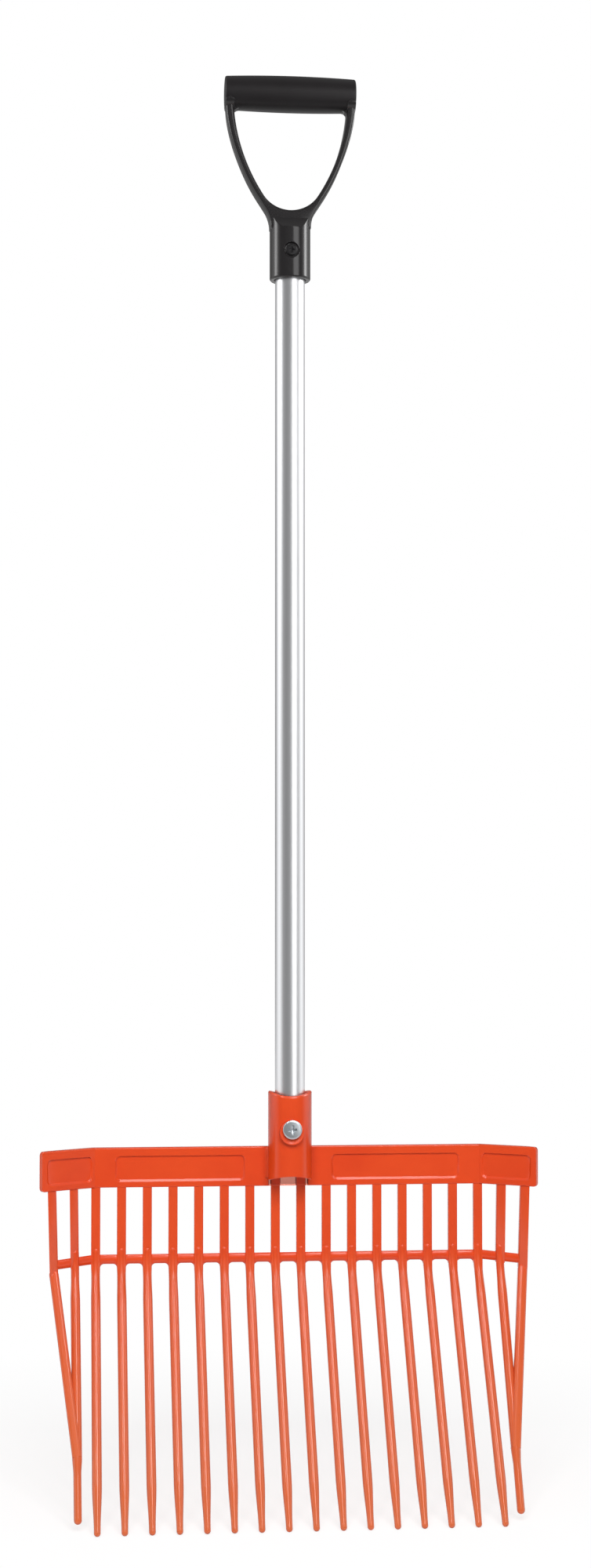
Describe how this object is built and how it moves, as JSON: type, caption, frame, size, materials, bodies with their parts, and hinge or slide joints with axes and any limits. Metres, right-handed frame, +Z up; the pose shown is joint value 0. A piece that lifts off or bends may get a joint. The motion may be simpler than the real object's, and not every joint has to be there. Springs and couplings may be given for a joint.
{
  "type": "manure fork",
  "caption": "Long handled manure fork: a moulded basket head of forward bent tines with folded wings, on a straight metal tube with a D-shaped hand grip.",
  "frame": {"origin": "on the shaft's axis, at the underside of the hand bar, where a hook holds the part", "axes": "+Z up along the shaft, +Y towards the back of the board, so the tines reach forward to -Y, +X to the user's right as seen from the front"},
  "size_m": [0.4218, 0.1474, 1.2115],
  "materials": {
    "head": "satin moulded plastic",
    "grip": "satin moulded plastic",
    "tube": "drawn, lightly polished",
    "bolt": "zinc plated",
    "screw": "black"
  },
  "bodies": {
    "root": {"d_grip": "grip", "grip_screw": "screw", "shaft_tube": "tube", "head_socket": "head", "head_board": "head", "cross_rail": "head", "tine_01": "head", "tine_02": "head", "tine_03": "head", "tine_04": "head", "tine_05": "head", "tine_06": "head", "tine_07": "head", "tine_08": "head", "tine_09": "head", "tine_10": "head", "tine_11": "head", "tine_12": "head", "tine_13": "head", "tine_14": "head", "tine_15": "head", "tine_16": "head", "wing_tines_left": "head", "wing_tines_right": "head", "head_bolt": "bolt", "head_washer": "bolt", "head_nut": "bolt"}
  },
  "joints": []
}
